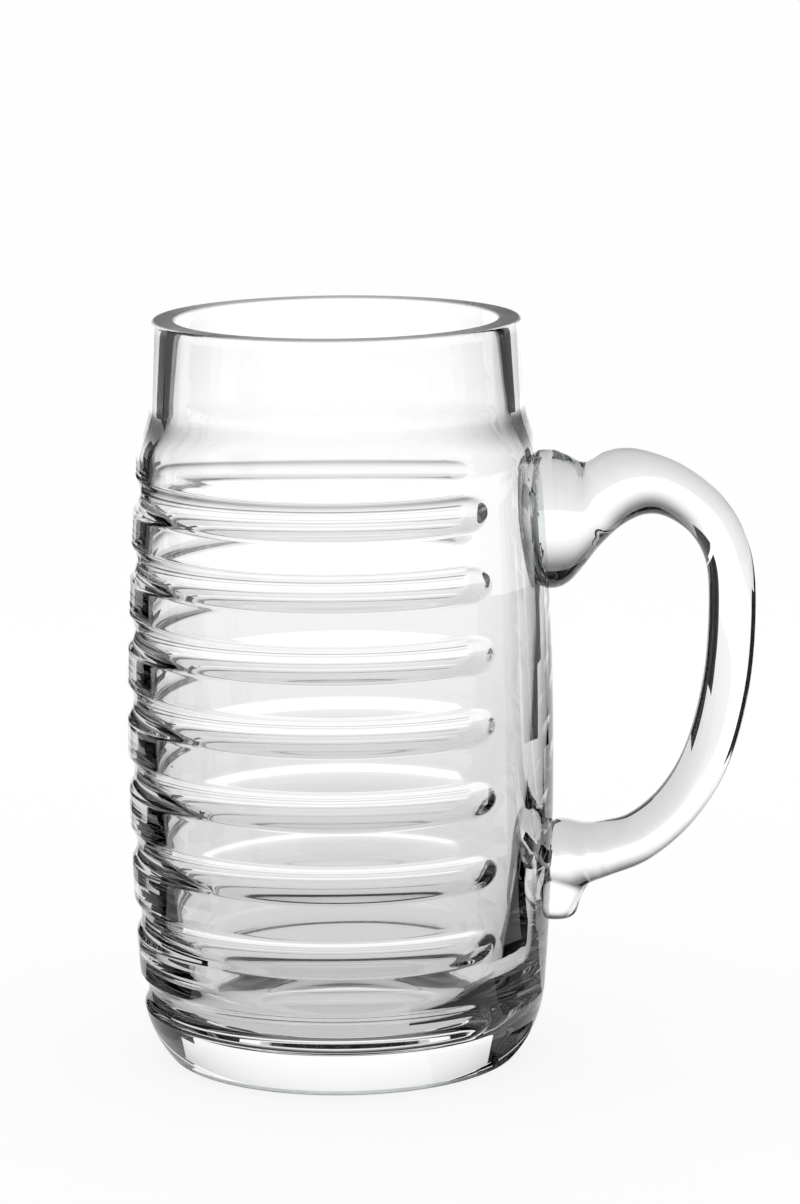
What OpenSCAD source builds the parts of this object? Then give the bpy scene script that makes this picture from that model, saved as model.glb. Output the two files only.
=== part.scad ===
// Fluted glass beer mug: a blown barrel body with cut flutes, and an applied solid glass handle.
// Millimetres. The origin is the centre of the foot, +Z is up and the handle points along +X.

/* [Body] */
// Height from the foot to the rim
mug_h = 160; // [145:1:190]
// How much smaller the radius of the rim is than that of the neck's foot
rim_taper = 0.8; // [0:0.1:3]
// Thickness of the wall at the rim
rim_wall = 5.2; // [3:0.1:7]
// Width of the small bevels on both edges of the ground rim
rim_bevel = 0.5; // [0.2:0.1:1]
// How much smaller the radius of the neck's foot is than that of the barrel
neck_step = 5.8; // [3:0.1:9]
// Thickness of the wall at the foot of the neck
neck_wall = 4.9; // [3:0.1:7]
// Height of the neck, from the rim down to the shoulder
neck_h = 18; // [8:0.5:26]
// Height of the shoulder curve
shoulder_h = 13; // [8:0.5:18]
// Largest outer radius of the barrel
belly_r = 45.8; // [43:0.1:50]
// Height of the barrel's widest place
belly_z = 68; // [50:1:90]
// Radius of the barrel's long side curve
barrel_curve_r = 700; // [500:10:1500]

/* [Base] */
// How much smaller the radius at the middle of the rounded base is than that of the barrel
heel_step = 4.2; // [3.3:0.1:6]
// Width of the rounded heel, from the middle of the base's rounding in to the flat foot
heel_w = 4; // [3:0.1:9]
// Height of the middle of the base's rounding
heel_h = 6.2; // [4:0.1:8]
// Height of the rounded base, where the barrel starts
base_h = 14.2; // [12:0.1:16]
// Thickness of the glass under the bowl
floor_t = 7.8; // [6:0.1:14]

/* [Bowl] */
// How much smaller the largest radius of the bowl is than that of the barrel
barrel_wall = 5.4; // [4.3:0.1:8]
// Height of the bowl's widest place
bowl_z = 92; // [75:1:105]
// Radius of the bowl's long side curve
bowl_curve_r = 410; // [350:10:800]
// Radius of the rounding between the bowl's side and its floor
bowl_corner_r = 18.5; // [10:0.5:24]

/* [Flutes] */
// Number of flutes
flute_n = 8; // [4:1:10]
// Distance from the shoulder down to the middle of the top flute
flute_top_gap = 5.4; // [4.6:0.1:9]
// Distance from the top of the rounded base up to the middle of the bottom flute
flute_bottom_gap = 0.3; // [0:0.1:6]
// How much wider each next gap between flutes is, going down
flute_pitch_growth = 0.28; // [0:0.02:0.4]
// Width of a flute across its mouth
flute_w = 7.5; // [4:0.1:9]
// Depth of a flute
flute_d = 1.3; // [0.6:0.1:2]
// Angle between the handle and the tips of the flutes
flute_tip_angle = 45; // [35:1:70]
// Radius of the cutting wheel that leaves the run-out at each tip
wheel_r = 30; // [20:1:60]

/* [Handle] */
// Distance from the wall to the outer face of the grip
handle_reach = 45; // [38:0.5:52]
// Distance from the shoulder down to the middle of the upper pad
pad_gap = 12.8; // [11:0.1:20]
// Height of the upper pad
pad_h = 29.8; // [24:0.1:32]
// Width of the upper pad
pad_w = 26; // [20:0.5:32]
// Height of the waist behind the upper pad
waist_h = 22.8; // [18:0.1:26]
// Width of the waist
waist_w = 21.5; // [16:0.5:26]
// Thickness at the crest of the upper bend
crest_t = 16.6; // [13:0.1:20]
// Width at the crest of the upper bend
crest_w = 17; // [13:0.5:20]
// Thickness of the grip
grip_t = 10.2; // [8:0.1:13]
// Width of the grip
grip_w = 12.8; // [9:0.1:16]
// Height of the middle of the lower landing pad
landing_z = 42.7; // [38:0.1:50]
// Height of the lower landing pad
landing_h = 15; // [12:0.1:18]
// Width of the lower landing pad
landing_w = 18.5; // [14:0.5:24]
// How far the tail hangs below the middle of the landing pad
tail_drop = 14.5; // [11:0.5:18]
// How far the tail stands off the wall at its root
tail_t = 8; // [5:0.5:10]
// Width of the tail at its root
tail_w = 11; // [7:0.5:14]

/* [Hidden] */
$fn = 96;
glass = [0.86, 0.9, 0.9, 0.45];

// Steps along each round stretch of the body's outline
curve_steps = 10;
// Sides of the handle's sections, and rings between two of its stations
handle_sides = 24;
handle_steps = 4;
// Sides of the tail's sections, and rings between two of its stations
tail_sides = 16;
tail_steps = 3;
// How far the ends of the handle start inside the wall before they are trimmed to it
seat_sink = 4;
// Turn of the cutting wheel, from just inside the flute to well clear of the body past its tip
wheel_lead = 8;
wheel_sweep = 60;
// The wheel's last cut is this much shallower than the flute, which leaves a faint step
wheel_lift = 0.05;

neck_z = mug_h - neck_h;
shoulder_z = neck_z - shoulder_h;
neck_r = belly_r - neck_step;
rim_r = neck_r - rim_taper;
heel_r = belly_r - heel_step;
foot_r = heel_r - heel_w;
bowl_r = belly_r - barrel_wall;

// Blend of two values
function mix(a, b, f) = a + (b - a) * f;

// Outer radius of the barrel at a height
function barrel_r(z) = belly_r - barrel_curve_r + sqrt(pow(barrel_curve_r, 2) - pow(z - belly_z, 2));

// Inner radius of the bowl's side at a height
function bowl_side_r(z) = bowl_r - bowl_curve_r + sqrt(pow(bowl_curve_r, 2) - pow(z - bowl_z, 2));

// Smooth S curve from a low radius and height to a high one
function shoulder_points(low_r, high_r) = [
    for (i = [0 : curve_steps])
        let (f = i / curve_steps)
        [mix(low_r, high_r, (1 - cos(180 * f)) / 2), mix(shoulder_z, neck_z, f)]
];

// The flutes share the barrel between its two gaps
flute_top_z = shoulder_z - flute_top_gap;
flute_run = flute_top_z - base_h - flute_bottom_gap;
flute_pitch = flute_run / (flute_n - 1) - flute_pitch_growth * (flute_n - 2) / 2;

// Height of the middle of a flute, counted from the top
function flute_z(k) = flute_top_z - k * flute_pitch - flute_pitch_growth * k * (k - 1) / 2;

// Heights along the barrel: its two ends and the middle of each ridge between flutes
barrel_heights = concat(
    [base_h],
    [for (k = [flute_n - 1 : -1 : 1]) (flute_z(k) + flute_z(k - 1)) / 2],
    [shoulder_z]
);

// The base is one smooth curve from the foot, through the heel, to the start of the barrel
base_points = [
    for (i = [0 : curve_steps])
        let (f = i / curve_steps)
        [foot_r, 0] * (1 - f) * (1 - 2 * f)
            + [heel_r, heel_h] * 4 * f * (1 - f)
            + [barrel_r(base_h), base_h] * f * (2 * f - 1)
];

outer_points = concat(
    base_points,
    [for (i = [1 : len(barrel_heights) - 1]) [barrel_r(barrel_heights[i]), barrel_heights[i]]],
    [for (i = [1 : curve_steps]) shoulder_points(barrel_r(shoulder_z), neck_r)[i]],
    [[rim_r, mug_h - rim_bevel], [rim_r - rim_bevel, mug_h]]
);

// The bowl's corner arc meets the side where both have the same slope
corner_slope = asin((bowl_z - floor_t - bowl_corner_r) / bowl_curve_r);
corner_z = floor_t + bowl_corner_r;
corner_top_z = corner_z - bowl_corner_r * sin(corner_slope);
corner_x = bowl_side_r(corner_top_z) - bowl_corner_r * cos(corner_slope);
corner_points = [
    for (i = [0 : curve_steps])
        let (a = mix(-90, -corner_slope, i / curve_steps))
        [corner_x + bowl_corner_r * cos(a), corner_z + bowl_corner_r * sin(a)]
];

bowl_points = concat(
    corner_points,
    [for (i = [1 : curve_steps - 1])
        let (z = mix(corner_top_z, shoulder_z, i / curve_steps))
        [bowl_side_r(z), z]],
    shoulder_points(bowl_side_r(shoulder_z), neck_r - neck_wall),
    [[rim_r - rim_wall, mug_h - rim_bevel], [rim_r - rim_wall + rim_bevel, mug_h]]
);

// The body's outside, turned, without bowl or flutes
module body_blank() {
    rotate_extrude()
        polygon(concat([[0, 0]], outer_points, [[0, mug_h]]));
}

// The turned glass wall between the outside and the bowl
module body_wall() {
    rotate_extrude()
        polygon(concat(
            [[0, 0]],
            outer_points,
            [for (i = [len(bowl_points) - 1 : -1 : 0]) bowl_points[i]],
            [[0, floor_t]]
        ));
}

// The flute's cross-section is an arc of this radius
flute_arc_r = (pow(flute_w / 2, 2) + pow(flute_d, 2)) / (2 * flute_d);

// The glass that one flute takes away: a ring, with a cutting wheel's run-out at each end
module flute_cut(z) {
    wall_r = barrel_r(z);
    ring_r = wall_r - flute_d + flute_arc_r;
    wheel_x = wall_r - flute_d + wheel_r;
    run_out = acos((pow(wheel_x, 2) + pow(wall_r, 2) - pow(wheel_r, 2)) / (2 * wheel_x * wall_r));
    ring_start = flute_tip_angle + run_out;

    translate([0, 0, z]) {
        rotate([0, 0, ring_start])
            rotate_extrude(angle = 360 - 2 * ring_start)
                translate([ring_r, 0])
                    circle(r = flute_arc_r);
        for (side = [0, 1])
            mirror([0, side, 0])
                rotate([0, 0, ring_start])
                    translate([wheel_x + wheel_lift, 0, 0])
                        rotate([0, 0, 180 - wheel_lead])
                            rotate_extrude(angle = wheel_sweep)
                                translate([wheel_r - flute_arc_r, 0])
                                    rotate([0, 0, 180])
                                        circle(r = flute_arc_r);
    }
}

module mug_body() {
    color(glass)
        difference() {
            body_wall();
            for (k = [0 : flute_n - 1])
                flute_cut(flute_z(k));
        }
}

// Smooth curve through a list of stations, each a list of numbers
function curve_at(s, i, f) =
    let (
        last = len(s) - 1,
        a = s[max(i - 1, 0)],
        b = s[i],
        c = s[min(i + 1, last)],
        d = s[min(i + 2, last)]
    )
    (2 * b + (c - a) * f + (2 * a - 5 * b + 4 * c - d) * f * f + (3 * b - a - 3 * c + d) * f * f * f) / 2;

function curve_points(s, steps) = concat(
    [for (i = [0 : len(s) - 2], j = [0 : steps - 1]) curve_at(s, i, j / steps)],
    [s[len(s) - 1]]
);

// One oval ring of a sweep, from a station of
// [distance from the axis, height, tilt of the section, thickness, width]
function oval_ring(q, sides) = [
    for (j = [0 : sides - 1])
        let (a = 360 * j / sides, along = q[3] / 2 * cos(a))
        [q[0] + along * cos(q[2]), q[4] / 2 * sin(a), q[1] + along * sin(q[2])]
];

// A closed solid through oval rings
module oval_sweep(stations, steps, sides) {
    rows = curve_points(stations, steps);
    rings = len(rows);
    points = [for (q = rows) each oval_ring(q, sides)];
    skin = [
        for (i = [0 : rings - 2], j = [0 : sides - 1])
            let (
                a = i * sides + j,
                b = i * sides + (j + 1) % sides
            )
            each [[a, b, b + sides], [a, b + sides, a + sides]]
    ];
    first_cap = [for (j = [sides - 1 : -1 : 0]) j];
    last_cap = [for (j = [0 : sides - 1]) (rings - 1) * sides + j];
    polyhedron(points, concat(skin, [first_cap, last_cap]));
}

pad_z = shoulder_z - pad_gap;
pad_x = barrel_r(pad_z);
landing_x = barrel_r(landing_z);
grip_run = handle_reach - grip_t / 2;

// A station of the handle: across goes from the wall, 0, to the middle of the grip, 1,
// and up goes from the landing, 0, to the upper pad, 1
function handle_station(across, up, tilt, thickness, width) = [
    mix(landing_x, pad_x, min(max(up, 0), 1)) + across * grip_run,
    mix(landing_z, pad_z, up),
    tilt,
    thickness,
    width
];

sink_across = seat_sink / grip_run;
handle_stations = [
    handle_station(-sink_across, 1, 90, pad_h - 2, pad_w - 2),
    handle_station(0.035, 1, 90, pad_h, pad_w),
    handle_station(0.12, 1, 90, mix(pad_h, waist_h, 0.33), mix(pad_w, waist_w, 0.33)),
    handle_station(0.205, 1.01, 88, waist_h, waist_w),
    handle_station(0.31, 1.058, 86, mix(waist_h, crest_t, 0.42), mix(waist_w, crest_w, 0.55)),
    handle_station(0.43, 1.093, 85, crest_t, crest_w),
    handle_station(0.57, 1.1, 80, mix(crest_t, grip_t, 0.54), mix(crest_w, grip_w, 0.45)),
    handle_station(0.715, 1.073, 67, mix(crest_t, grip_t, 0.8), mix(crest_w, grip_w, 0.72)),
    handle_station(0.87, 1.006, 51, mix(crest_t, grip_t, 0.93), mix(crest_w, grip_w, 0.88)),
    handle_station(0.973, 0.902, 27, grip_t, grip_w),
    handle_station(1, 0.755, 3, grip_t, grip_w),
    handle_station(0.965, 0.52, -9, grip_t, grip_w),
    handle_station(0.855, 0.297, -22, grip_t, grip_w),
    handle_station(0.69, 0.148, -43, grip_t, grip_w),
    handle_station(0.48, 0.05, -63, mix(grip_t, landing_h, 0.1), mix(grip_w, landing_w, 0.2)),
    handle_station(0.285, 0.015, -76, mix(grip_t, landing_h, 0.36), mix(grip_w, landing_w, 0.48)),
    handle_station(0.135, 0.004, -86, mix(grip_t, landing_h, 0.8), mix(grip_w, landing_w, 0.85)),
    handle_station(0.02, 0, -90, landing_h, landing_w),
    handle_station(-sink_across, 0, -90, landing_h - 1, landing_w - 1)
];

// A station of the tail: down goes from the middle of the landing, 0, to the tail's tip, 1
function tail_station(down, stand_off, width) =
    let (z = landing_z - down * tail_drop)
    [barrel_r(z) + stand_off / 2 - seat_sink / 2, z, 0, stand_off + seat_sink, width];

tail_stations = [
    tail_station(0, tail_t, tail_w),
    tail_station(0.45, tail_t, tail_w),
    tail_station(0.67, 0.85 * tail_t, 0.9 * tail_w),
    tail_station(0.87, 0.75 * tail_t, 0.74 * tail_w),
    tail_station(0.96, 0.6 * tail_t, 0.52 * tail_w),
    tail_station(1, 0.36 * tail_t, 0.3 * tail_w)
];

module handle() {
    color(glass)
        difference() {
            union() {
                oval_sweep(handle_stations, handle_steps, handle_sides);
                oval_sweep(tail_stations, tail_steps, tail_sides);
            }
            body_blank();
        }
}

mug_body();
handle();
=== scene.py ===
"""Fluted beer mug in clear glass: the cut body, the applied handle and the studio that shows them.

All sizes are metres in the part's own frame: the origin is the centre of the foot, +Z is up
and the handle points along +X.
"""

import logging
import math
from dataclasses import dataclass
from enum import Enum

import bmesh
import bpy
from mathutils import Matrix, Vector
from mathutils.bvhtree import BVHTree

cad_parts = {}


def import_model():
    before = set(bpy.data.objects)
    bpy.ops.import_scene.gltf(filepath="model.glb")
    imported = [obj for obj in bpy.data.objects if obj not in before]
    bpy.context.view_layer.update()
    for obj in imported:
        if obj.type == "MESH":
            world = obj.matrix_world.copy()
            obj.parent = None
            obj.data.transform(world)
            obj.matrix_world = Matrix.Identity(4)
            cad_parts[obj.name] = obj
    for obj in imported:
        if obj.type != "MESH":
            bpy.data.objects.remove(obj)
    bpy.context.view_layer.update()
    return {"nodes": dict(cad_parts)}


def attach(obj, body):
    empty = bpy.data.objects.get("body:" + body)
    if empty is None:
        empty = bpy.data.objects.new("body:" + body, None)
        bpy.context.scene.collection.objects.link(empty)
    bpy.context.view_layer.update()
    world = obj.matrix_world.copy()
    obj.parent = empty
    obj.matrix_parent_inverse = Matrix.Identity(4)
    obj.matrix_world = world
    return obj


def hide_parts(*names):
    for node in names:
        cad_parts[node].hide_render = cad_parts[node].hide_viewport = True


LOG = logging.getLogger("fluted_mug")
MM = 0.001
MERGE_DISTANCE = 1e-6
LEVEL = 0.999
SHEET_HEIGHT = 0.5 * MM

Point = tuple[float, float]


class Surface(Enum):
    """The kinds of surface on the glass, in the order of each piece's material slots."""

    POLISHED = 0
    GROUND = 1
    FUSED = 2


class RayKind(Enum):
    """The rays that look at the studio itself, and not at its even light."""

    CAMERA = "Is Camera Ray"
    GLOSSY = "Is Glossy Ray"
    TRANSMISSION = "Is Transmission Ray"


def mix(a: float, b: float, share: float) -> float:
    """Blend two values."""
    return a + (b - a) * share


def smooth_step(low: float, high: float, value: float) -> float:
    """Ease from 0 at low to 1 at high."""
    t = min(max((value - low) / (high - low), 0.0), 1.0)
    return t * t * (3 - 2 * t)


def soft_min(a: float, b: float, blend: float) -> float:
    """Take the smaller value, with the corner between the two rounded over blend."""
    overlap = max(blend - abs(a - b), 0.0) / blend
    return min(a, b) - overlap * overlap * blend / 4


def line(start: Point, end: Point, steps: int) -> list[Point]:
    """Divide a straight stretch of a profile.

    Args:
        start: First radius and height.
        end: Last radius and height.
        steps: Number of divisions.

    Returns:
        The points after start, up to and including end.
    """
    return [
        (mix(start[0], end[0], i / steps), mix(start[1], end[1], i / steps))
        for i in range(1, steps + 1)
    ]


def arc(centre: Point, radius: float, start: float, end: float, steps: int) -> list[Point]:
    """Divide a round stretch of a profile.

    Args:
        centre: Radius and height of the arc's centre.
        radius: Radius of the arc.
        start: First angle in degrees.
        end: Last angle in degrees.
        steps: Number of divisions.

    Returns:
        The points from the first angle to the last.
    """
    angles = [math.radians(mix(start, end, i / steps)) for i in range(steps + 1)]
    return [(centre[0] + radius * math.cos(a), centre[1] + radius * math.sin(a)) for a in angles]


def finish_mesh(bm: bmesh.types.BMesh, name: str) -> bpy.types.Object:
    """Close a bmesh's seams, turn its faces outwards and put it in the scene.

    Args:
        bm: The finished bmesh, which is freed.
        name: Name of the piece.

    Returns:
        The new object, at the origin.
    """
    bmesh.ops.remove_doubles(bm, verts=bm.verts, dist=MERGE_DISTANCE)
    bmesh.ops.recalc_face_normals(bm, faces=bm.faces)
    for face in bm.faces:
        face.smooth = True
    mesh = bpy.data.meshes.new(name)
    bm.to_mesh(mesh)
    bm.free()
    piece = bpy.data.objects.new(name, mesh)
    bpy.context.scene.collection.objects.link(piece)
    return piece


@dataclass(frozen=True)
class GlassFinish:
    """How one surface of the glass looks."""

    name: str
    tint: tuple[float, float, float, float]
    roughness: tuple[float, float]
    grain_scale: float
    wave_scale: float
    wave_height: float
    ior: float = 1.5
    absorb_tint: tuple[float, float, float, float] = (0.68, 0.74, 0.71, 1.0)
    absorb_density: float = 2.0

    def material(self, relief: bpy.types.NodeTree) -> bpy.types.Material:
        """Build the material.

        Args:
            relief: The shared node group that gives the grain and the waves.

        Returns:
            The new material.
        """
        made = bpy.data.materials.new(self.name)
        made.use_nodes = True
        nodes, links = made.node_tree.nodes, made.node_tree.links
        shader = nodes["Principled BSDF"]
        shader.inputs["Base Color"].default_value = self.tint
        shader.inputs["Metallic"].default_value = 0.0
        shader.inputs["Transmission Weight"].default_value = 1.0
        shader.inputs["IOR"].default_value = self.ior

        place = nodes.new("ShaderNodeTexCoord")
        pattern = nodes.new("ShaderNodeGroup")
        pattern.node_tree = relief
        pattern.inputs["Grain Scale"].default_value = self.grain_scale
        pattern.inputs["Wave Scale"].default_value = self.wave_scale
        links.new(place.outputs["Object"], pattern.inputs["Position"])

        gloss = nodes.new("ShaderNodeMapRange")
        gloss.inputs["To Min"].default_value = self.roughness[0]
        gloss.inputs["To Max"].default_value = self.roughness[1]
        links.new(pattern.outputs["Grain"], gloss.inputs["Value"])
        links.new(gloss.outputs["Result"], shader.inputs["Roughness"])

        bump = nodes.new("ShaderNodeBump")
        bump.inputs["Distance"].default_value = self.wave_height
        links.new(pattern.outputs["Waves"], bump.inputs["Height"])
        links.new(bump.outputs["Normal"], shader.inputs["Normal"])

        absorb = nodes.new("ShaderNodeVolumeAbsorption")
        absorb.inputs["Color"].default_value = self.absorb_tint
        absorb.inputs["Density"].default_value = self.absorb_density
        links.new(absorb.outputs["Volume"], nodes["Material Output"].inputs["Volume"])
        return made


def glass_relief() -> bpy.types.NodeTree:
    """Build the node group for the fine grain and the slow waves of hand-worked glass.

    Returns:
        A group with a Grain mask and a Waves height.
    """
    group = bpy.data.node_groups.new("hand_worked_glass", "ShaderNodeTree")
    group.interface.new_socket("Position", in_out="INPUT", socket_type="NodeSocketVector")
    group.interface.new_socket("Grain Scale", in_out="INPUT", socket_type="NodeSocketFloat")
    group.interface.new_socket("Wave Scale", in_out="INPUT", socket_type="NodeSocketFloat")
    group.interface.new_socket("Grain", in_out="OUTPUT", socket_type="NodeSocketFloat")
    group.interface.new_socket("Waves", in_out="OUTPUT", socket_type="NodeSocketFloat")
    entry = group.nodes.new("NodeGroupInput")
    result = group.nodes.new("NodeGroupOutput")
    for scale, detail, output in (("Grain Scale", 4.0, "Grain"), ("Wave Scale", 1.0, "Waves")):
        noise = group.nodes.new("ShaderNodeTexNoise")
        noise.inputs["Detail"].default_value = detail
        group.links.new(entry.outputs["Position"], noise.inputs["Vector"])
        group.links.new(entry.outputs[scale], noise.inputs["Scale"])
        group.links.new(noise.outputs["Fac"], result.inputs[output])
    return group


def give_finishes(piece: bpy.types.Object, finishes: dict[Surface, bpy.types.Material]) -> None:
    """Fill a piece's material slots in the order of Surface."""
    for surface in Surface:
        piece.data.materials.append(finishes[surface])


@dataclass
class MugBody:
    """The blown vessel with its cut flutes, ground rim and polished foot with a ground edge."""

    node: str = "mug_body"
    height: float = 160 * MM
    belly_radius: float = 45.8 * MM
    belly_height: float = 68 * MM
    barrel_curve: float = 700 * MM
    neck_radius: float = 40.0 * MM
    neck_wall: float = 4.2 * MM
    neck_height: float = 18 * MM
    shoulder_height: float = 13 * MM
    rim_radius: float = 39.2 * MM
    rim_wall: float = 5.0 * MM
    rim_bevel: float = 0.5 * MM
    rim_land: float = 0.3 * MM
    heel_radius: float = 41.6 * MM
    heel_width: float = 4.0 * MM
    heel_height: float = 6.2 * MM
    foot_ring: float = 1.2 * MM
    foot_crease: float = 0.1 * MM
    ground_height: float = 1.0 * MM
    hollow_radius: float = 22 * MM
    hollow_depth: float = 0.6 * MM
    base_height: float = 14.2 * MM
    floor_thickness: float = 7.8 * MM
    bowl_radius: float = 41.6 * MM
    bowl_height: float = 92 * MM
    bowl_curve: float = 410 * MM
    bowl_corner: float = 18.5 * MM
    bowl_margin: float = 0.5 * MM
    bowl_drift: float = 0.3 * MM
    drift_below: Point = (20 * MM, 55 * MM)
    drift_above: Point = (118 * MM, 156 * MM)
    drift_at_floor: float = 0.4
    drift_skin: float = 0.75
    flute_count: int = 8
    flute_top_gap: float = 5.4 * MM
    flute_bottom_gap: float = 0.3 * MM
    flute_growth: float = 0.28 * MM
    flute_width: float = 7.5 * MM
    flute_depth: float = 1.3 * MM
    lowest_depth: float = 1.5 * MM
    flute_edge: float = 0.25 * MM
    flute_tip: float = 45.0
    wheel_radius: float = 30 * MM
    seat_angle: float = 20.0
    tip_margin: Point = (2.0, 11.0)
    sector_steps: tuple[float, float, float, float] = (0.6, 2.9, 0.4, 2.5)
    barrel_step: float = 0.45 * MM
    base_steps: int = 28
    hollow_steps: int = 12
    foot_steps: int = 6
    ring_steps: int = 2
    shoulder_steps: int = 18
    neck_steps: int = 8
    bevel_steps: int = 4
    bowl_steps: int = 40
    corner_steps: int = 24
    floor_steps: int = 8

    @property
    def shoulder_foot(self) -> float:
        """Height where the barrel ends and the shoulder starts."""
        return self.height - self.neck_height - self.shoulder_height

    @property
    def neck_foot(self) -> float:
        """Height where the shoulder ends and the neck starts."""
        return self.height - self.neck_height

    def barrel(self, z: float) -> float:
        """Give the outer radius of the barrel at a height."""
        drop = math.sqrt(self.barrel_curve**2 - (z - self.belly_height) ** 2)
        return self.belly_radius - self.barrel_curve + drop

    def wall(self, z: float) -> float:
        """Give the outer radius of the barrel or the shoulder at a height, without flutes."""
        share = (z - self.shoulder_foot) / self.shoulder_height
        if share <= 0:
            return self.barrel(z)
        ease = (1 - math.cos(math.pi * min(share, 1.0))) / 2
        return mix(self.barrel(self.shoulder_foot), self.neck_radius, ease)

    def bowl_side(self, z: float) -> float:
        """Give the inner radius of the bowl's side at a height."""
        drop = math.sqrt(self.bowl_curve**2 - (z - self.bowl_height) ** 2)
        return self.bowl_radius - self.bowl_curve + drop

    def flutes(self) -> list[tuple[float, float]]:
        """Give the height of the middle of each flute, from the top down, and its depth."""
        top = self.shoulder_foot - self.flute_top_gap
        run = top - self.base_height - self.flute_bottom_gap
        last = self.flute_count - 1
        pitch = run / last - self.flute_growth * (last - 1) / 2
        heights = [top - k * pitch - self.flute_growth * k * (k - 1) / 2 for k in range(self.flute_count)]
        return [(z, self.flute_depth) for z in heights[:-1]] + [(heights[-1], self.lowest_depth)]

    def outer_profile(self) -> list[Point]:
        """Trace the outside from the polished hollow in the middle of the foot up to the rim.

        Returns:
            Radius and height of each point.
        """
        foot = self.heel_radius - self.heel_width
        ring = foot - self.foot_ring
        hollow = (self.hollow_radius**2 + self.hollow_depth**2) / (2 * self.hollow_depth)
        edge = math.degrees(math.acos(self.hollow_radius / hollow))
        points = arc((0.0, self.hollow_depth - hollow), hollow, 90, edge, self.hollow_steps)
        points += line(points[-1], (ring, 0.0), self.foot_steps)
        points += line((ring, 0.0), (foot - self.foot_crease, 0.0), self.ring_steps)
        start, middle, end = (
            Vector((foot, 0.0)),
            Vector((self.heel_radius, self.heel_height)),
            Vector((self.barrel(self.base_height), self.base_height)),
        )
        for i in range(self.base_steps + 1):
            f = i / self.base_steps
            point = start * (1 - f) * (1 - 2 * f) + middle * 4 * f * (1 - f) + end * f * (2 * f - 1)
            points.append((point.x, point.y))
        steps = round((self.shoulder_foot - self.base_height) / self.barrel_step)
        for i in range(1, steps + 1):
            z = mix(self.base_height, self.shoulder_foot, i / steps)
            points.append((self.barrel(z), z))
        for i in range(1, self.shoulder_steps + 1):
            z = mix(self.shoulder_foot, self.neck_foot, i / self.shoulder_steps)
            points.append((self.wall(z), z))
        corner = (self.rim_radius - self.rim_bevel, self.height - self.rim_bevel)
        points += line(points[-1], (self.rim_radius, corner[1] - self.rim_land), self.neck_steps)
        return points + arc(corner, self.rim_bevel, 0, 90, self.bevel_steps)

    def inner_profile(self) -> list[Point]:
        """Trace the bowl from the rim down to the middle of its floor.

        Returns:
            Radius and height of each point.
        """
        mouth = self.rim_radius - self.rim_wall
        corner = (mouth + self.rim_bevel, self.height - self.rim_bevel)
        neck = self.neck_radius - self.neck_wall
        points = arc(corner, self.rim_bevel, 90, 180, self.bevel_steps)
        points += line((mouth, corner[1] - self.rim_land), (neck, self.neck_foot), self.neck_steps)
        side = self.bowl_side(self.shoulder_foot)
        for i in range(1, self.shoulder_steps + 1):
            share = i / self.shoulder_steps
            ease = (1 - math.cos(math.pi * share)) / 2
            points.append((mix(neck, side, ease), mix(self.neck_foot, self.shoulder_foot, share)))
        centre_z = self.floor_thickness + self.bowl_corner
        slope = math.asin((self.bowl_height - centre_z) / self.bowl_curve)
        join_z = centre_z - self.bowl_corner * math.sin(slope)
        centre_r = self.bowl_side(join_z) - self.bowl_corner * math.cos(slope)
        for i in range(1, self.bowl_steps):
            z = mix(self.shoulder_foot, join_z, i / self.bowl_steps)
            points.append((self.bowl_side(z), z))
        centre, floor = (centre_r, centre_z), self.floor_thickness
        points += arc(centre, self.bowl_corner, -math.degrees(slope), -90, self.corner_steps)
        return points + line((centre_r, floor), (0.0, floor), self.floor_steps)

    def flute_radius(self, z: float, angle: float, middle: float, depth: float) -> float:
        """Give how far in one flute cuts at a place on the wall.

        Args:
            z: Height of the place.
            angle: Angle of the place from the handle, 0 to 180 degrees.
            middle: Height of the flute's middle.
            depth: Depth of the flute.

        Returns:
            The radius that the cut leaves, or infinity where it misses.
        """
        arc_r = ((self.flute_width / 2) ** 2 + depth**2) / (2 * depth)
        off = abs(z - middle)
        if off >= arc_r:
            return math.inf
        reach = math.sqrt(arc_r**2 - off**2)
        bottom = self.barrel(middle) - depth
        wheel_x = bottom + self.wheel_radius
        wall = self.barrel(middle)
        run_out = math.acos((wheel_x**2 + wall**2 - self.wheel_radius**2) / (2 * wheel_x * wall))
        turn = math.radians(self.flute_tip) + run_out - math.radians(angle)
        if turn <= 0:
            return bottom + arc_r - reach
        disc = self.wheel_radius - arc_r + reach
        inside = disc**2 - (wheel_x * math.sin(turn)) ** 2
        return wheel_x * math.cos(turn) - math.sqrt(inside) if inside > 0 else math.inf

    def cut_flutes(self, bm: bmesh.types.BMesh) -> None:
        """Press the eight flutes into the outer wall, running out at each tip."""
        flutes = self.flutes()
        inside = self.bowl_radius + self.bowl_margin
        for vert in bm.verts:
            radius = math.hypot(vert.co.x, vert.co.y)
            if radius < inside or not self.heel_height < vert.co.z < self.shoulder_foot:
                continue
            angle = abs(math.degrees(math.atan2(vert.co.y, vert.co.x)))
            nearest = min(flutes, key=lambda flute: abs(flute[0] - vert.co.z))
            cut = self.flute_radius(vert.co.z, angle, *nearest)
            if cut - radius < self.flute_edge:
                scale = soft_min(radius, cut, self.flute_edge) / radius
                vert.co.x *= scale
                vert.co.y *= scale

    def drift_bowl(self, bm: bmesh.types.BMesh) -> None:
        """Move the bowl a little towards the handle, as the glass was blown."""
        for vert in bm.verts:
            z = vert.co.z
            if z < self.floor_thickness - MERGE_DISTANCE:
                continue
            radius = math.hypot(vert.co.x, vert.co.y)
            if radius < self.wall(min(z, self.neck_foot)) - self.drift_skin * self.neck_wall:
                low = mix(self.drift_at_floor, 1.0, smooth_step(*self.drift_below, z))
                high = 1 - smooth_step(*self.drift_above, z)
                vert.co.x += self.bowl_drift * low * high

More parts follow.
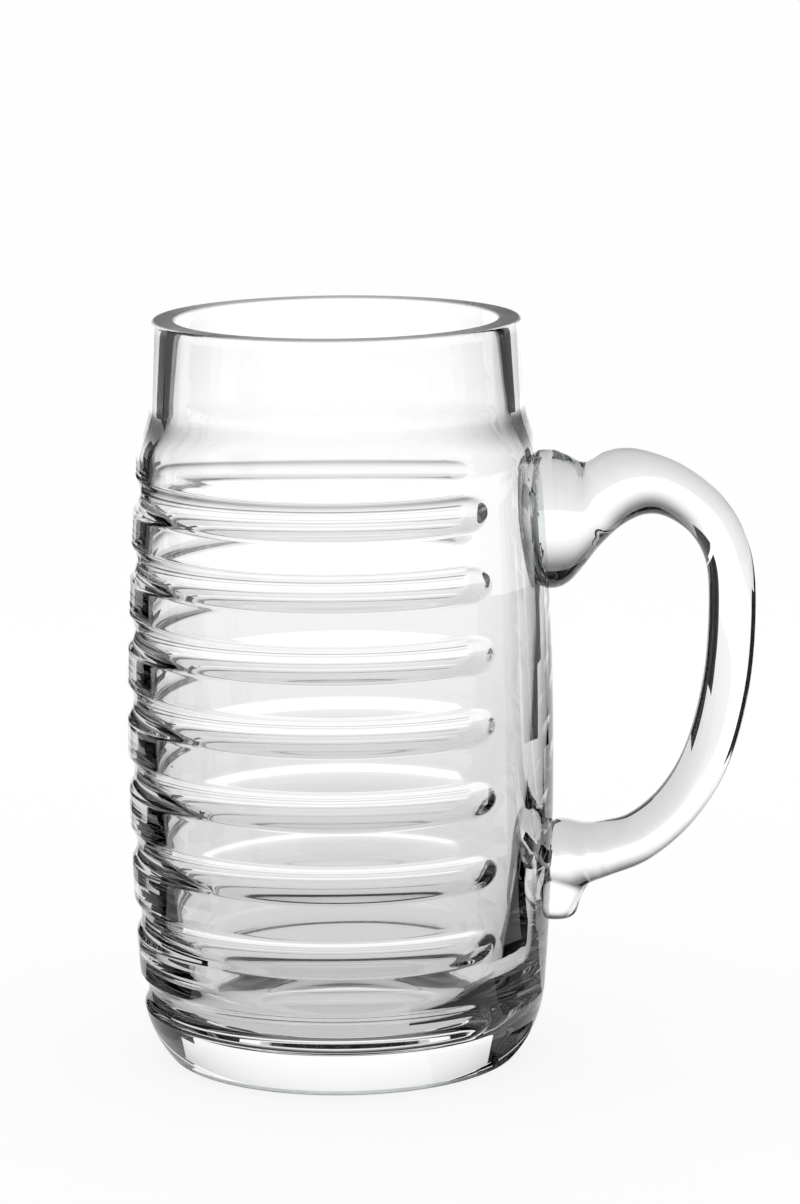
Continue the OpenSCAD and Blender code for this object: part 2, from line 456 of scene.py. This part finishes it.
    def sectors(self) -> list[tuple[float, float]]:
        """Divide the turn: fine under the handle and at the flutes' tips, coarser elsewhere.

        Returns:
            The last angle of each sector and its step, in degrees.
        """
        before, after = self.tip_margin
        ends = (self.seat_angle, self.flute_tip - before, self.flute_tip + after, 180.0)
        starts = (0.0,) + ends[:-1]
        half = list(zip(ends, self.sector_steps))
        back = [(360 - start, step) for start, step in zip(starts, self.sector_steps)]
        return half + back[::-1]

    def build(self) -> bpy.types.Object:
        """Spin the profile round the axis and cut the flutes.

        Returns:
            The body's object.
        """
        bm = bmesh.new()
        profile = self.outer_profile() + self.inner_profile()
        verts = [bm.verts.new((r, 0.0, z)) for r, z in profile]
        edges = [bm.edges.new(pair) for pair in zip(verts, verts[1:])]
        geom, start = verts + edges, 0.0
        for end, step in self.sectors():
            turned = bmesh.ops.spin(
                bm, geom=geom, cent=(0, 0, 0), axis=(0, 0, 1),
                angle=math.radians(end - start), steps=round((end - start) / step),
            )
            geom, start = turned["geom_last"], end
        self.cut_flutes(bm)
        self.drift_bowl(bm)
        return finish_mesh(bm, "fluted_body")

    def dress(self, piece: bpy.types.Object, finishes: dict[Surface, bpy.types.Material]) -> None:
        """Polish the body, and leave its rim and the lowest edge of its heel ground."""
        give_finishes(piece, finishes)
        ring = self.heel_radius - self.heel_width - self.foot_ring
        for face in piece.data.polygons:
            place = face.center
            top = place.z > self.height - self.rim_bevel and face.normal.z > LEVEL
            if top or (place.z < self.ground_height and math.hypot(place.x, place.y) > ring):
                face.material_index = Surface.GROUND.value


@dataclass
class Station:
    """One oval section of the drawn handle."""

    x: float
    z: float
    tilt: float
    thickness: float
    width: float

    def values(self) -> Vector:
        """Give the section's numbers as one vector."""
        return Vector((self.x, self.z, self.tilt, self.thickness, self.width))

    def matrix(self) -> Matrix:
        """Give the transform that lays a unit circle on the section."""
        tilt = math.radians(self.tilt)
        across = Vector((math.cos(tilt), 0.0, math.sin(tilt)))
        side = Vector((0.0, 1.0, 0.0))
        made = Matrix.Identity(4)
        made.col[0] = (across * self.thickness / 2).to_4d()
        made.col[1] = (side * self.width / 2).to_4d()
        made.col[2] = across.cross(side).to_4d()
        made.col[3] = (self.x, 0.0, self.z, 1.0)
        for column in range(3):
            made[3][column] = 0.0
        return made


@dataclass
class MugHandle:
    """The solid rod of glass that is pressed onto the wall, drawn round and pressed on again."""

    body: MugBody
    node: str = "handle"
    reach: float = 45 * MM
    pad_gap: float = 12.8 * MM
    pad_height: float = 29.8 * MM
    pad_width: float = 26 * MM
    waist_height: float = 22.8 * MM
    waist_width: float = 21.5 * MM
    crest: float = 16.6 * MM
    crest_width: float = 17 * MM
    grip: float = 10.2 * MM
    grip_width: float = 12.8 * MM
    landing_z: float = 42.7 * MM
    landing: float = 15 * MM
    landing_width: float = 18.5 * MM
    notch: Point = (54.5 * MM, 35.2 * MM)
    notch_radius: float = 1.5 * MM
    tail_width: float = 11 * MM
    tail_tip: float = 28.15 * MM
    seat_gap: float = 0.02 * MM
    melt_reach: float = 0.06 * MM
    seat_crease: float = 50.0
    sides: int = 64
    rings: int = 8

    def station(self, across: float, up: float, tilt: float, thickness: float, width: float) -> Station:
        """Place a section between the wall and the grip, and between the landing and the pad.

        Args:
            across: 0 at the wall, 1 at the middle of the grip.
            up: 0 at the landing, 1 at the upper pad.
            tilt: Angle of the section's thickness in degrees.
            thickness: Size of the section in the handle's plane.
            width: Size of the section across that plane.

        Returns:
            The section.
        """
        pad_z = self.body.shoulder_foot - self.pad_gap
        low, high = self.body.barrel(self.landing_z), self.body.barrel(pad_z)
        x = mix(low, high, min(max(up, 0.0), 1.0)) + across * (self.reach - self.grip / 2)
        return Station(x, mix(self.landing_z, pad_z, up), tilt, thickness, width)

    def fan(self, tilt: float, thickness: float, width: float) -> Station:
        """Place a section of the turn from the landing down into the tail, round the notch."""
        out = Vector((math.cos(math.radians(tilt)), math.sin(math.radians(tilt))))
        centre = Vector(self.notch) - out * (self.notch_radius + thickness / 2)
        return Station(centre.x, centre.y, tilt, thickness, width)

    def tail(self, z: float, out: float, sunk: float, width: float) -> Station:
        """Place a level section of the tail, from inside the wall out to a radius."""
        return Station((out + sunk) / 2, z, 0.0, out - sunk, width)

    def lay_out(self) -> list[Station]:
        """List the sections from the upper pad round to the tip of the tail."""
        pad, waist, crest, grip, land = (
            (self.pad_height, self.pad_width),
            (self.waist_height, self.waist_width),
            (self.crest, self.crest_width),
            (self.grip, self.grip_width),
            (self.landing, self.landing_width),
        )

        def between(a: Point, b: Point, thick: float, wide: float) -> Point:
            """Blend the thickness and the width of two sections."""
            return mix(a[0], b[0], thick), mix(a[1], b[1], wide)

        s = self.station
        return [
            s(-0.10, 1, 90, 0.08 * pad[0], 0.08 * pad[1]),
            s(-0.10, 1, 90, 0.55 * pad[0], 0.55 * pad[1]),
            s(-0.09, 1, 90, 0.93 * pad[0], 0.93 * pad[1]),
            s(0.035, 1, 90, *pad),
            s(0.12, 1, 90, *between(pad, waist, 0.33, 0.33)),
            s(0.205, 1.01, 88, *waist),
            s(0.31, 1.058, 86, *between(waist, crest, 0.42, 0.55)),
            s(0.43, 1.093, 85, *crest),
            s(0.57, 1.1, 80, *between(crest, grip, 0.54, 0.45)),
            s(0.715, 1.073, 67, *between(crest, grip, 0.8, 0.72)),
            s(0.87, 1.006, 51, *between(crest, grip, 0.93, 0.88)),
            s(0.973, 0.902, 27, *grip),
            s(1, 0.755, 3, *grip),
            s(0.965, 0.52, -9, *grip),
            s(0.855, 0.297, -22, *grip),
            s(0.69, 0.148, -43, *grip),
            s(0.48, 0.05, -63, *between(grip, land, 0.1, 0.2)),
            s(0.285, 0.015, -76, *between(grip, land, 0.36, 0.48)),
            self.fan(-80, 13 * MM, mix(grip[1], land[1], 0.85)),
            self.fan(-60, 15.5 * MM, land[1]),
            self.fan(-35, 14 * MM, mix(self.tail_width, land[1], 0.7)),
            self.fan(-10, 11 * MM, mix(self.tail_width, land[1], 0.25)),
            self.tail(33 * MM, 51.7 * MM, 42 * MM, self.tail_width),
            self.tail(30.1 * MM, 50.8 * MM, 42 * MM, 0.8 * self.tail_width),
            self.tail(28.9 * MM, 49.9 * MM, 43 * MM, 0.55 * self.tail_width),
            self.tail(28.35 * MM, 48.6 * MM, 44 * MM, 0.32 * self.tail_width),
            self.tail(self.tail_tip, 47 * MM, 45.5 * MM, 0.1 * self.tail_width),
        ]

    def curve(self) -> list[Station]:
        """Run a smooth curve through the sections.

        Returns:
            All the rings of the handle, in order.
        """
        marks = [s.values() for s in self.lay_out()]
        last = len(marks) - 1
        made = []
        for i in range(last):
            a, b = marks[max(i - 1, 0)], marks[i]
            c, d = marks[i + 1], marks[min(i + 2, last)]
            for j in range(self.rings):
                f = j / self.rings
                q = (
                    2 * b
                    + (c - a) * f
                    + (2 * a - 5 * b + 4 * c - d) * f**2
                    + (3 * b - a - 3 * c + d) * f**3
                ) / 2
                made.append(Station(*q))
        return made + [Station(*marks[last])]

    def press_on(self, bm: bmesh.types.BMesh) -> None:
        """Flatten what lies inside the wall onto the wall's face, as hot glass is pressed on."""
        for vert in bm.verts:
            radius = math.hypot(vert.co.x, vert.co.y)
            seat = self.body.wall(vert.co.z) + self.seat_gap
            if radius < seat:
                vert.co.x *= seat / radius
                vert.co.y *= seat / radius

    def build(self) -> bpy.types.Object:
        """Draw the rod from section to section and press its ends onto the wall.

        Returns:
            The handle's object.
        """
        rows = self.curve()
        bm = bmesh.new()
        start = bmesh.ops.create_circle(bm, segments=self.sides, radius=1.0, matrix=rows[0].matrix())
        first = ring = start["verts"]
        edges = list(bm.edges)
        for before, after in zip(rows, rows[1:]):
            drawn = bmesh.ops.extrude_edge_only(bm, edges=edges)["geom"]
            ring = [item for item in drawn if isinstance(item, bmesh.types.BMVert)]
            fresh = set(ring)
            edges = [
                item for item in drawn
                if isinstance(item, bmesh.types.BMEdge) and fresh.issuperset(item.verts)
            ]
            bmesh.ops.transform(bm, matrix=after.matrix() @ before.matrix().inverted(), verts=ring)
        for end, row in ((first, rows[0]), (ring, rows[-1])):
            bmesh.ops.pointmerge(bm, verts=end, merge_co=(row.x, 0.0, row.z))
        self.press_on(bm)
        return finish_mesh(bm, "drawn_handle")

    def on_wall(self, place: Vector) -> bool:
        """Tell whether a point lies on the seat."""
        seat = self.body.wall(place.z) + self.seat_gap
        return math.hypot(place.x, place.y) < seat + MERGE_DISTANCE

    def dress(self, piece: bpy.types.Object, finishes: dict[Surface, bpy.types.Material]) -> None:
        """Give the handle its fire-polished finish, with clear glass where it is melted on."""
        give_finishes(piece, finishes)
        piece.data.set_sharp_from_angle(angle=math.radians(self.seat_crease))
        verts = piece.data.vertices
        for face in piece.data.polygons:
            if all(self.on_wall(verts[i].co) for i in face.vertices):
                face.material_index = Surface.FUSED.value

    def melt_onto(self, wall: bpy.types.Object, piece: bpy.types.Object) -> None:
        """Clear the body's face under the seat, so that the two pieces are one glass to look at.

        Args:
            wall: The body's object.
            piece: The handle's object.
        """
        seat = BVHTree.FromPolygons(
            [v.co for v in piece.data.vertices],
            [f.vertices for f in piece.data.polygons if f.material_index == Surface.FUSED.value],
        )
        for face in wall.data.polygons:
            if seat.find_nearest(face.center, self.melt_reach)[0] is not None:
                face.material_index = Surface.FUSED.value


@dataclass(frozen=True)
class Fade:
    """A brightness that changes smoothly along one axis."""

    axis: str
    start: float
    end: float
    low: float
    high: float

    @classmethod
    def even(cls, value: float) -> "Fade":
        """Give one brightness everywhere."""
        return cls("Z", 0.0, 1.0, value, value)

    def socket(self, tree: bpy.types.NodeTree) -> bpy.types.NodeSocket:
        """Build the fade's nodes.

        Args:
            tree: The material's nodes.

        Returns:
            The socket that gives the brightness: low before the start and high after the end.
        """
        place = tree.nodes.new("ShaderNodeTexCoord")
        axes = tree.nodes.new("ShaderNodeSeparateXYZ")
        ramp = tree.nodes.new("ShaderNodeMapRange")
        ramp.interpolation_type = "SMOOTHSTEP"
        for name, value in (
            ("From Min", self.start), ("From Max", self.end), ("To Min", self.low), ("To Max", self.high),
        ):
            ramp.inputs[name].default_value = value
        tree.links.new(place.outputs["Object"], axes.inputs[0])
        tree.links.new(axes.outputs[self.axis], ramp.inputs["Value"])
        return ramp.outputs["Result"]


@dataclass(frozen=True)
class Card:
    """A plain card, from black (0) to white (1), that only the glass sees as it bends or mirrors light."""

    name: str
    shade: Fade

    def put_up(self, bm: bmesh.types.BMesh) -> bpy.types.Object:
        """Put the card into the scene.

        Args:
            bm: The card's faces, which are freed.

        Returns:
            The card's object.
        """
        card = finish_mesh(bm, self.name)
        made = bpy.data.materials.new(self.name)
        made.use_nodes = True
        tree = made.node_tree
        tree.nodes.remove(tree.nodes["Principled BSDF"])
        glow = tree.nodes.new("ShaderNodeEmission")
        glow.inputs["Color"].default_value = (1, 1, 1, 1)
        tree.links.new(self.shade.socket(tree), glow.inputs["Strength"])
        tree.links.new(glow.outputs[0], tree.nodes["Material Output"].inputs["Surface"])
        card.data.materials.append(made)
        card.visible_camera = False
        card.visible_diffuse = False
        card.visible_shadow = False
        return card


@dataclass(frozen=True)
class Panel:
    """The upright light panel behind the mug, which fades towards its top."""

    left: float
    right: float
    distance: float
    bottom: float
    top: float
    shade: Fade

    def stand(self, name: str) -> bpy.types.Object:
        """Stand the panel across the back."""
        bm = bmesh.new()
        bmesh.ops.create_grid(bm, x_segments=1, y_segments=1, size=0.5)
        size = Vector((self.right - self.left, self.top - self.bottom, 1.0))
        middle = ((self.left + self.right) / 2, self.distance, (self.bottom + self.top) / 2)
        bmesh.ops.scale(bm, vec=size, verts=bm.verts)
        bmesh.ops.rotate(bm, cent=(0, 0, 0), matrix=Matrix.Rotation(math.pi / 2, 3, "X"), verts=bm.verts)
        bmesh.ops.translate(bm, vec=middle, verts=bm.verts)
        return Card(name, self.shade).put_up(bm)


@dataclass(frozen=True)
class Flag:
    """A dark card bent round the mug from one azimuth to another; the flat sheets near the foot are
    painted shadow on the floor.

    Azimuths are in degrees: 0 is behind the mug, and they grow towards the handle.
    """

    start: float
    end: float
    profile: tuple[Point, ...]
    shade: float = 0.0
    steps: int = 24

    @classmethod
    def sheet(
        cls, start: float, end: float, near: float, far: float, height: float = SHEET_HEIGHT
    ) -> "Flag":
        """Lay a flat sheet from one radius out to another."""
        return cls(start, end, ((near, height), (far, height)))

    @classmethod
    def fence(cls, start: float, end: float, near: float, far: float, top: float) -> "Flag":
        """Lay a sheet on the floor and turn its outer edge up to a height."""
        return cls(start, end, ((near, SHEET_HEIGHT), (far, SHEET_HEIGHT), (far, top)))

    @classmethod
    def strip(
        cls, start: float, end: float, radius: float, heights: Point, shade: float = 0.0
    ) -> "Flag":
        """Hang an upright strip at one radius."""
        return cls(start, end, tuple((radius, z) for z in heights), shade)

    def stand(self, name: str) -> bpy.types.Object:
        """Sweep the flag's profile of radii and heights round the mug."""
        bm = bmesh.new()
        first = math.radians(90 - self.start)
        verts = [bm.verts.new((r * math.cos(first), r * math.sin(first), z)) for r, z in self.profile]
        edges = [bm.edges.new(pair) for pair in zip(verts, verts[1:])]
        bmesh.ops.spin(
            bm, geom=verts + edges, cent=(0, 0, 0), axis=(0, 0, 1),
            angle=-math.radians(self.end - self.start), steps=self.steps,
        )
        return Card(name, Fade.even(self.shade)).put_up(bm)


@dataclass
class Studio:
    """The pale floor with painted shade, the soft light, the light panel and flags behind the mug, black
    sheets of painted shadow by the foot, and the camera.
    """

    floor_size: float = 40.0
    floor_gap: float = 0.2 * MM
    floor_paint: float = 0.9
    floor_roughness: float = 0.9
    floor_share: float = 0.2
    ambient: float = 0.8
    room: float = 0.008
    # Painted shade on the floor, seen only by the glass: darker under and in front of the mug, lighter
    # towards the panel behind.
    painted_floor_shade: Fade = Fade("Y", 0.0, 0.45, 0.7, 1.0)
    panel: Panel = Panel(-0.32, 0.42, 0.45, 0.0, 0.34, Fade("Z", 0.09, 0.30, 1.12, 0.2))
    flags: tuple[Flag, ...] = (
        Flag.fence(-80.0, -42.0, 0.1, 0.38, 0.08),
        Flag.fence(-42.0, -28.0, 0.2, 0.38, 0.08),
        Flag.fence(62.0, 80.0, 0.12, 0.40, 0.10),
        Flag.fence(45.0, 62.0, 0.22, 0.40, 0.10),
        Flag.fence(35.0, 45.0, 0.33, 0.40, 0.10),
        # Painted shadow: black sheets lying on the floor beside the mug, and one just under the heel,
        # which the glass sees as the floor in shade.
        Flag.sheet(60.0, 105.0, 0.066, 0.12),
        Flag.sheet(80.0, 150.0, 0.034, 0.05, -0.1 * MM),
        Flag.sheet(-105.0, -58.0, 0.064, 0.12),
        Flag.fence(-40.0, -21.0, 0.42, 0.47, 0.072),
        Flag.strip(-46.0, -33.0, 0.25, (0.075, 0.18)),
        Flag.strip(-75.0, -46.0, 0.25, (0.075, 0.18), 0.08),
        Flag.strip(38.0, 75.0, 0.25, (0.115, 0.16), 0.015),
    )
    camera_place: tuple[float, float, float] = (0.0, -1.0, 285.96 * MM)
    camera_pitch: float = 10.62
    camera_yaw: float = 0.745
    camera_roll: float = -0.509
    lens: float = 141.86
    sensor: float = 36.0
    bounces: int = 32
    glossy_bounces: int = 16

    def looking(self, tree: bpy.types.NodeTree) -> bpy.types.NodeSocket:
        """Give a socket that is 1 for the rays that look at the studio, and 0 for its even light."""
        path = tree.nodes.new("ShaderNodeLightPath")
        total = path.outputs[RayKind.CAMERA.value]
        for kind in (RayKind.GLOSSY, RayKind.TRANSMISSION):
            either = tree.nodes.new("ShaderNodeMath")
            either.operation = "MAXIMUM"
            tree.links.new(total, either.inputs[0])
            tree.links.new(path.outputs[kind.value], either.inputs[1])
            total = either.outputs[0]
        return total

    def camera_or(self, tree: bpy.types.NodeTree, white: float) -> bpy.types.ShaderNodeMix:
        """Make a blend that is white to the camera, and shows its first value to the glass."""
        path = tree.nodes.new("ShaderNodeLightPath")
        blend = tree.nodes.new("ShaderNodeMix")
        blend.inputs["B"].default_value = white
        tree.links.new(path.outputs[RayKind.CAMERA.value], blend.inputs["Factor"])
        return blend

    def lay_floor(self) -> None:
        """Lay the pale floor, which keeps a soft shadow and shows the glass a painted shade that lightens
        towards the back.
        """
        bm = bmesh.new()
        bmesh.ops.create_grid(bm, x_segments=1, y_segments=1, size=self.floor_size / 2)
        bmesh.ops.translate(bm, verts=bm.verts, vec=(0, 0, -self.floor_gap))
        floor = finish_mesh(bm, "floor")
        paper = bpy.data.materials.new("white_paper")
        paper.use_nodes = True
        tree = paper.node_tree
        shader = tree.nodes["Principled BSDF"]
        shader.inputs["Base Color"].default_value = (self.floor_paint,) * 3 + (1,)
        shader.inputs["Roughness"].default_value = self.floor_roughness
        glow = tree.nodes.new("ShaderNodeEmission")
        lit = self.floor_paint * self.ambient
        tone = self.camera_or(tree, (1 - self.floor_share * lit) / (1 - self.floor_share))
        # The glass sees the painted floor shade; the camera sees plain white.
        tree.links.new(self.painted_floor_shade.socket(tree), tone.inputs["A"])
        tree.links.new(tone.outputs["Result"], glow.inputs["Strength"])
        blend = tree.nodes.new("ShaderNodeMixShader")
        share = tree.nodes.new("ShaderNodeMath")
        share.operation = "MULTIPLY"
        share.inputs[1].default_value = 1 - self.floor_share
        tree.links.new(self.looking(tree), share.inputs[0])
        tree.links.new(share.outputs[0], blend.inputs[0])
        tree.links.new(shader.outputs[0], blend.inputs[1])
        tree.links.new(glow.outputs[0], blend.inputs[2])
        tree.links.new(blend.outputs[0], tree.nodes["Material Output"].inputs["Surface"])
        floor.data.materials.append(paper)

    def light_world(self) -> None:
        """Surround the mug with even light, a plain white background and a dim room for the glass."""
        world = bpy.data.worlds.new("studio")
        bpy.context.scene.world = world
        world.use_nodes = True
        tree = world.node_tree
        ambient = tree.nodes["Background"]
        ambient.inputs["Color"].default_value = (1, 1, 1, 1)
        ambient.inputs["Strength"].default_value = self.ambient
        backdrop = tree.nodes.new("ShaderNodeBackground")
        backdrop.inputs["Color"].default_value = (1, 1, 1, 1)
        tone = self.camera_or(tree, 1.0)
        tone.inputs["A"].default_value = self.room
        tree.links.new(tone.outputs["Result"], backdrop.inputs["Strength"])
        blend = tree.nodes.new("ShaderNodeMixShader")
        tree.links.new(self.looking(tree), blend.inputs[0])
        tree.links.new(ambient.outputs[0], blend.inputs[1])
        tree.links.new(backdrop.outputs[0], blend.inputs[2])
        tree.links.new(blend.outputs[0], tree.nodes["World Output"].inputs["Surface"])

    def place_camera(self) -> bpy.types.Object:
        """Put the camera at the photograph's viewing angle.

        Returns:
            The camera.
        """
        pitch, yaw, roll = (
            math.radians(a) for a in (self.camera_pitch, self.camera_yaw, self.camera_roll)
        )
        ahead = Vector((
            math.sin(yaw) * math.cos(pitch),
            math.cos(yaw) * math.cos(pitch),
            -math.sin(pitch),
        ))
        right = ahead.cross(Vector((0, 0, 1))).normalized()
        up = right.cross(ahead)
        turned_right = right * math.cos(roll) + up * math.sin(roll)
        turned_up = up * math.cos(roll) - right * math.sin(roll)
        axes = Matrix((turned_right, turned_up, -ahead)).transposed().to_4x4()
        data = bpy.data.cameras.new("camera")
        data.lens = self.lens
        data.sensor_width = self.sensor
        camera = bpy.data.objects.new("camera", data)
        camera.matrix_world = Matrix.Translation(self.camera_place) @ axes
        bpy.context.scene.collection.objects.link(camera)
        bpy.context.scene.camera = camera
        return camera

    def set_up(self) -> None:
        """Build the whole studio."""
        self.lay_floor()
        self.light_world()
        self.panel.stand("light_panel")
        # Stand the dark flags and the black sheets of painted shadow.
        for number, flag in enumerate(self.flags):
            flag.stand(f"black_flag_and_painted_shadow_{number}")
        self.place_camera()
        scene = bpy.context.scene
        scene.view_settings.view_transform = "Standard"
        scene.cycles.max_bounces = self.bounces
        scene.cycles.transmission_bounces = self.bounces
        scene.cycles.glossy_bounces = self.glossy_bounces


def make_finishes() -> dict[Surface, bpy.types.Material]:
    """Build the finishes of the glass.

    Returns:
        The material of each kind of surface.
    """
    relief = glass_relief()
    polished = GlassFinish(
        name="polished_glass", tint=(1.0, 1.0, 1.0, 1.0), roughness=(0.0, 0.004),
        grain_scale=60.0, wave_scale=55.0, wave_height=0.02 * MM,
    )
    ground = GlassFinish(
        name="ground_glass", tint=(0.96, 0.97, 0.97, 1.0), roughness=(0.2, 0.5),
        grain_scale=900.0, wave_scale=1800.0, wave_height=0.03 * MM,
    )
    fused = GlassFinish(
        name="fused_glass", tint=(1.0, 1.0, 1.0, 1.0), roughness=(0.0, 0.0),
        grain_scale=60.0, wave_scale=55.0, wave_height=0.0, ior=1.0,
    )
    return {
        Surface.POLISHED: polished.material(relief),
        Surface.GROUND: ground.material(relief),
        Surface.FUSED: fused.material(relief),
    }


def main() -> None:
    """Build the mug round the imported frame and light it."""
    logging.basicConfig(level=logging.INFO, format="%(name)s: %(message)s")
    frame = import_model()
    LOG.info("frame nodes: %s", ", ".join(sorted(frame["nodes"])))
    finishes = make_finishes()
    body = MugBody()
    handle = MugHandle(body)
    pieces = []
    for part in (body, handle):
        piece = part.build()
        part.dress(piece, finishes)
        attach(piece, "root")
        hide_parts(part.node)
        pieces.append(piece)
        LOG.info("%s: %d faces", piece.name, len(piece.data.polygons))
    handle.melt_onto(*pieces)
    Studio().set_up()


if __name__ == "__main__":
    main()
